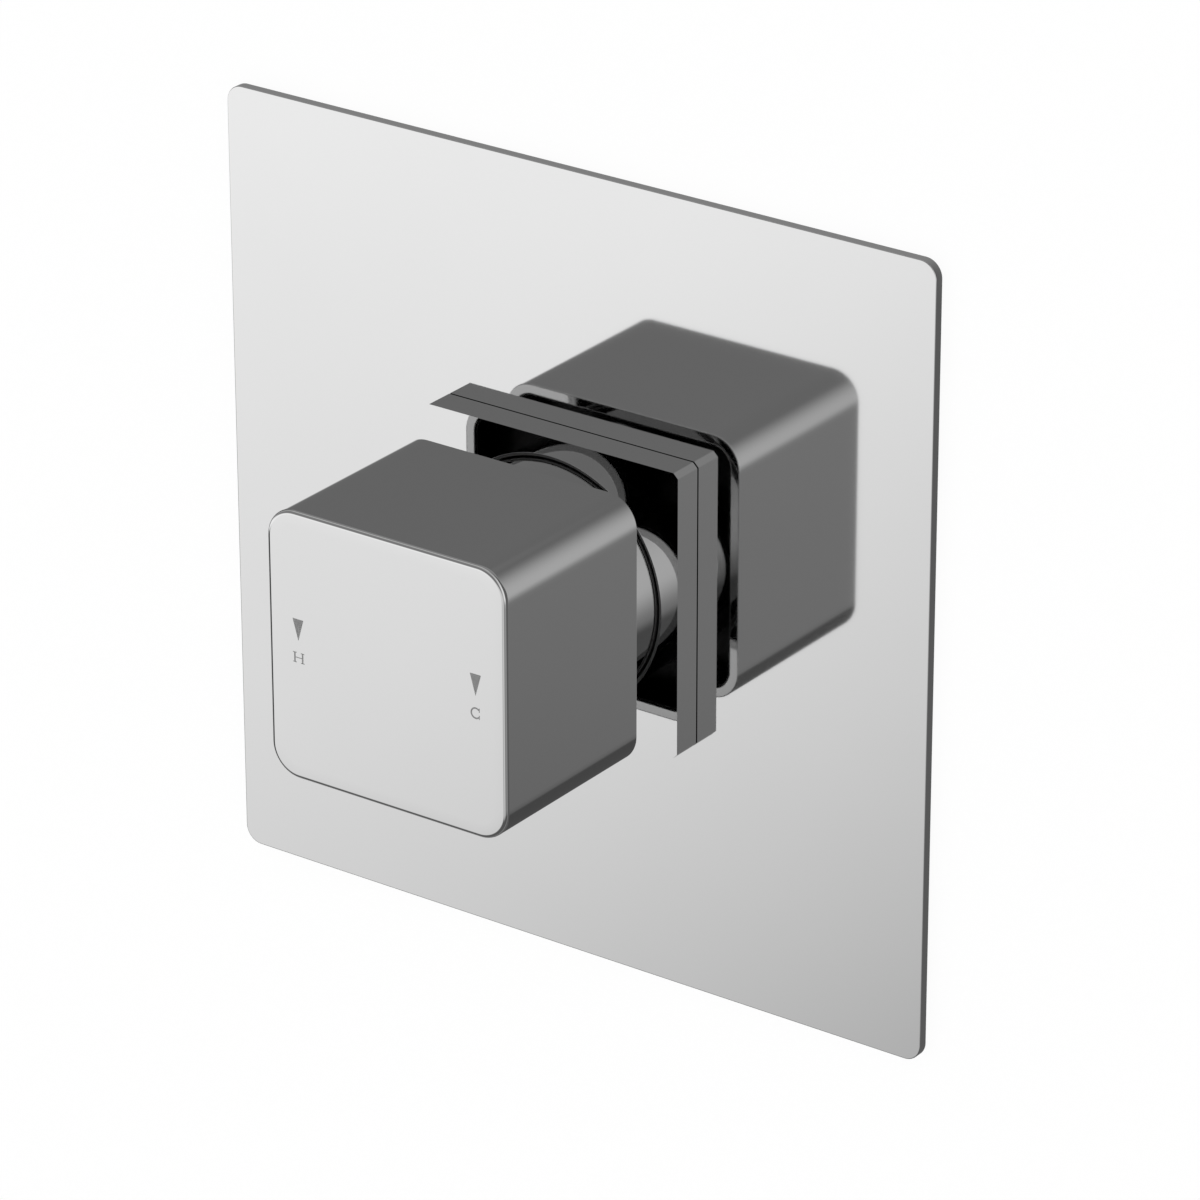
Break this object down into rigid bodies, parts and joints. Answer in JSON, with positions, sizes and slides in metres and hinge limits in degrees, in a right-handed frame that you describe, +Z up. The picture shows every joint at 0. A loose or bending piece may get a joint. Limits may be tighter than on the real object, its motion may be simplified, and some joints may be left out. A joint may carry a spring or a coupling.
{
  "type": "thermostatic shower valve",
  "caption": "Concealed thermostatic shower valve with square chrome wall plate, thin square flow lever plate and cube temperature knob over a brass body.",
  "frame": {"origin": "the point where the spindle axis meets the finished wall's surface, at the back of the wall plate's seal", "axes": "+Z up, +Y into the wall along the spindle axis, +X to the right of a person who faces the valve"},
  "size_m": [0.16, 0.1379, 0.16],
  "materials": {
    "polished_chrome": "mirror polished chrome plating",
    "dull_nickel": "plain nickel plating",
    "cast_brass": "sand cast, bead blasted",
    "turned_brass": "turned",
    "zinc_steel": "bright zinc plated",
    "spring_steel": "drawn stainless wire",
    "mesh_steel": "etched stainless sheet",
    "shuttle_steel": "turned stainless",
    "element_copper": "drawn copper",
    "disc_ceramic": null,
    "cartridge_plastic": "moulded",
    "white_plastic": "moulded",
    "dark_plastic": "moulded, glossy",
    "red_plastic": "moulded",
    "blue_plastic": "moulded",
    "red_fibre": "pressed fibre",
    "black_rubber": "moulded",
    "foam": "closed cell foam",
    "mark_fill": "matt infill"
  },
  "bodies": {
    "root": {"wall_plate": "polished_chrome", "plate_seal": "foam", "plate_grip_ring": "black_rubber", "shroud_sleeve": "dull_nickel", "valve_body": "cast_brass", "mounting_bracket": "zinc_steel", "bracket_screws": "zinc_steel", "outlet_plug": "turned_brass", "plug_washer": "red_fibre", "cartridge_nut": "turned_brass", "cartridge_head": "cartridge_plastic", "cartridge_body": "cartridge_plastic", "cartridge_base": "cartridge_plastic", "cartridge_o_rings": "black_rubber", "fixed_disc": "disc_ceramic", "disc_gasket": "black_rubber", "thrust_washer": "white_plastic", "hot_check_housing": "white_plastic", "cold_check_housing": "white_plastic", "hot_filter": "mesh_steel", "cold_filter": "mesh_steel", "return_spring": "spring_steel", "hot_check_spring": "spring_steel", "cold_check_spring": "spring_steel"},
    "flow_control": {"flow_lever_plate": "polished_chrome", "glide_disc": "white_plastic", "neck_wiper_ring": "dark_plastic", "lever_nut": "turned_brass", "flow_sleeve": "turned_brass", "moving_disc": "disc_ceramic"},
    "temperature_control": {"knob_body": "polished_chrome", "knob_insert": "dark_plastic", "knob_face": "polished_chrome", "face_marks": "mark_fill", "neck_sleeve": "polished_chrome", "spindle_adaptor": "white_plastic", "knob_screw": "zinc_steel", "temperature_spindle": "turned_brass", "spindle_o_rings": "black_rubber"},
    "adjusting_slider": {"adjusting_nut": "turned_brass", "overload_spring": "spring_steel", "spring_cap": "spring_steel", "wax_piston": "spring_steel"},
    "mixing_shuttle": {"wax_element": "element_copper", "shuttle": "shuttle_steel", "shuttle_seal": "black_rubber"},
    "hot_check": {"hot_check_poppet": "red_plastic"},
    "cold_check": {"cold_check_poppet": "blue_plastic"}
  },
  "joints": [
    {"name": "temperature_turn", "type": "hinge", "parent": "root", "child": "temperature_control", "pos_m": [0, -0.04, 0], "axis": [0, -1, 0], "range_deg": [-180, 90]},
    {"name": "flow_turn", "type": "hinge", "parent": "root", "child": "flow_control", "pos_m": [0, -0.007, 0], "axis": [0, -1, 0], "range_deg": [0, 90]},
    {"name": "nut_travel", "type": "slide", "parent": "root", "child": "adjusting_slider", "axis": [0, 1, 0], "range_m": [-0.002, 0.00101]},
    {"name": "shuttle_travel", "type": "slide", "parent": "root", "child": "mixing_shuttle", "axis": [0, 1, 0], "range_m": [-0.000605, 0.000305], "deforming": ["return_spring"]},
    {"name": "hot_check_travel", "type": "slide", "parent": "root", "child": "hot_check", "axis": [1, 0, 0], "range_m": [0, 0.0025], "stiffness_N_per_m": 200, "springref_m": -0.005, "deforming": ["hot_check_spring"]},
    {"name": "cold_check_travel", "type": "slide", "parent": "root", "child": "cold_check", "axis": [-1, 0, 0], "range_m": [0, 0.0025], "stiffness_N_per_m": 200, "springref_m": -0.005, "deforming": ["cold_check_spring"]}
  ],
  "couplings": [
    {"joint": "nut_travel", "follows": "temperature_turn", "m_per_rad": 0.00063662},
    {"joint": "shuttle_travel", "follows": "temperature_turn", "m_per_rad": 0.00019099}
  ]
}
